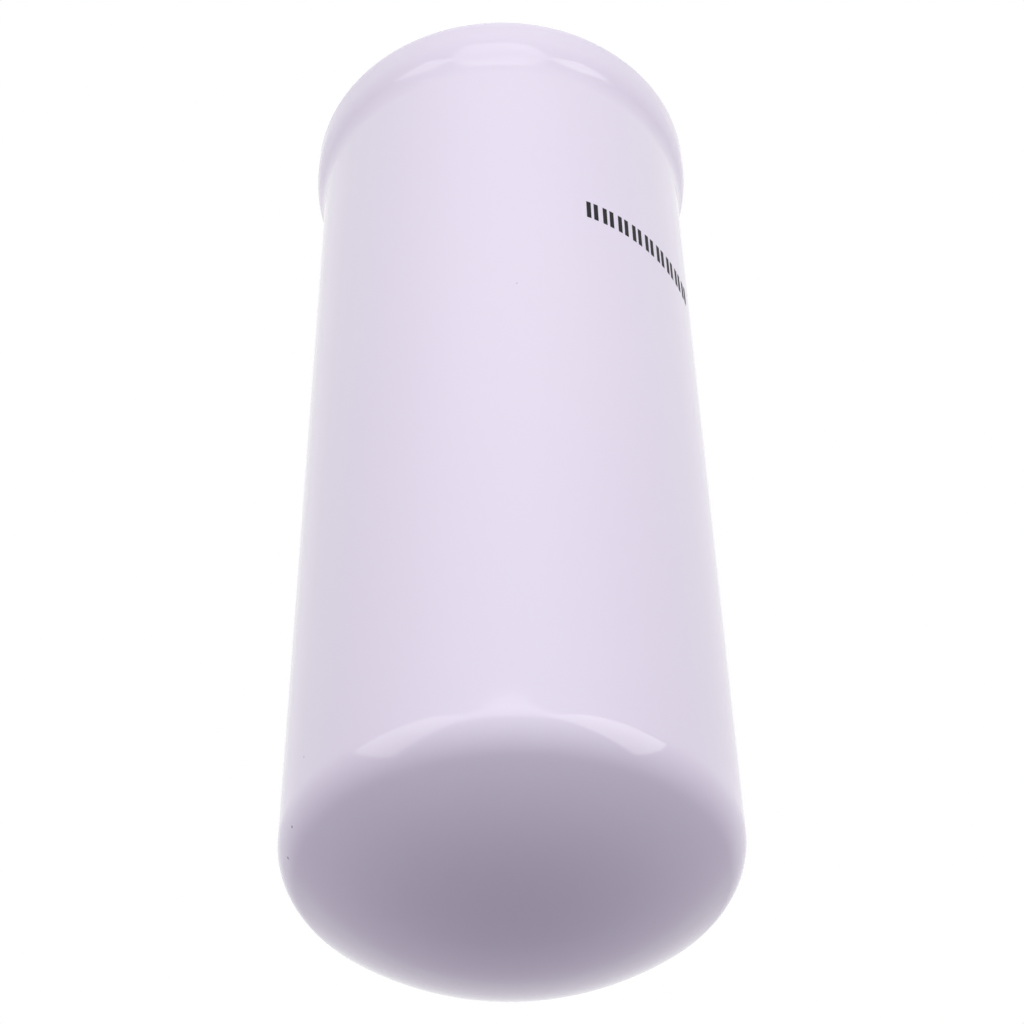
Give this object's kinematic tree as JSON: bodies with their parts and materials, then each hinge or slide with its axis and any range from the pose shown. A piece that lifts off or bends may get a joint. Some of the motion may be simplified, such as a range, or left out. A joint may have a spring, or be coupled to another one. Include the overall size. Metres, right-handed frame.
{
  "type": "hydraulic filter",
  "caption": "Spin-on hydraulic filter: painted steel can with a domed end and a bulged, rolled lip, threaded top plate, head gasket, pleated element and bypass valve.",
  "frame": {"origin": "centre of the threaded hole at the outer face of the top plate", "axes": "+Z along the filter's axis, out of the open end; the can hangs below with its dome down"},
  "size_m": [0.0974, 0.0974, 0.2438],
  "materials": {
    "can_paint": "white stoved enamel, glossy",
    "plate_steel": "zinc-plated machined steel",
    "nitrile": "moulded nitrile rubber, matt",
    "cap_steel": "tin-plated pressed steel",
    "tube_steel": "punched strip steel",
    "potting": "cured two-part adhesive",
    "mesh": "woven polyester netting",
    "media": "resin-bonded glass fibre",
    "valve_steel": "turned and zinc-plated steel",
    "spring_steel": "oil-tempered spring steel"
  },
  "bodies": {
    "filter": {"canister": "can_paint", "top_plate": "plate_steel", "head_gasket": "nitrile", "plate_seal": "nitrile", "hub_grommet": "nitrile", "upper_end_cap": "cap_steel", "upper_potting": "potting", "centre_tube": "tube_steel", "inner_support_mesh": "mesh", "filter_media": "media", "outer_support_mesh": "mesh", "seam_clip": "cap_steel", "lower_potting": "potting", "lower_end_cap": "cap_steel", "valve_seat": "valve_steel", "valve_spring": "spring_steel", "valve_guide": "cap_steel", "hold_down_spring": "spring_steel"},
    "poppet": {"valve_poppet": "valve_steel", "poppet_seal": "nitrile"}
  },
  "joints": [
    {"name": "bypass_lift", "type": "slide", "parent": "filter", "child": "poppet", "axis": [0, 0, 1], "range_m": [0, 0.005], "stiffness_N_per_m": 4000, "springref_m": -0.0002, "deforming": ["valve_spring"]}
  ]
}
